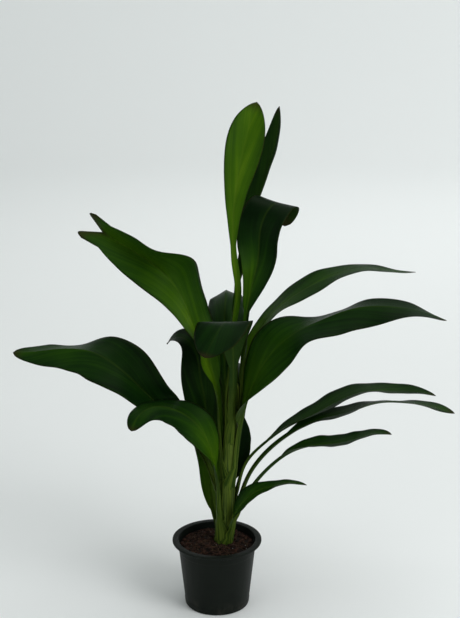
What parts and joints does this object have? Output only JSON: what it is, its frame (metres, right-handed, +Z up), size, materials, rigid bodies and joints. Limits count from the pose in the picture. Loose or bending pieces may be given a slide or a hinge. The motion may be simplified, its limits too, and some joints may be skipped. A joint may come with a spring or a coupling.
{
  "type": "potted ti plant",
  "caption": "Potted broad-leaved house plant: long arching green strap leaves up one cane, in a small tapered black plastic nursery pot.",
  "frame": {"origin": "centre of the pot's underside, on the ground", "axes": "+Z up along the pot's axis, -Y the side that the picture shows, +X to the right of the picture"},
  "size_m": [0.7696, 0.4447, 0.8995],
  "materials": {
    "pot_plastic": "satin black",
    "soil_bark": "rough, damp bark and coir",
    "cane_green": "smooth green stalks",
    "leaf_green": "glossy leaf"
  },
  "bodies": {
    "root": {"pot": "pot_plastic", "soil": "soil_bark", "cane": "cane_green", "leaf_01": "leaf_green", "leaf_02": "leaf_green", "leaf_03": "leaf_green", "leaf_04": "leaf_green", "leaf_05": "leaf_green", "leaf_06": "leaf_green", "leaf_07": "leaf_green", "leaf_08": "leaf_green", "leaf_09": "leaf_green", "leaf_10": "leaf_green", "leaf_11": "leaf_green", "leaf_12": "leaf_green", "leaf_13": "leaf_green", "leaf_14": "leaf_green", "leaf_15": "leaf_green", "leaf_16": "leaf_green", "leaf_17": "leaf_green", "leaf_18": "leaf_green"}
  },
  "joints": []
}
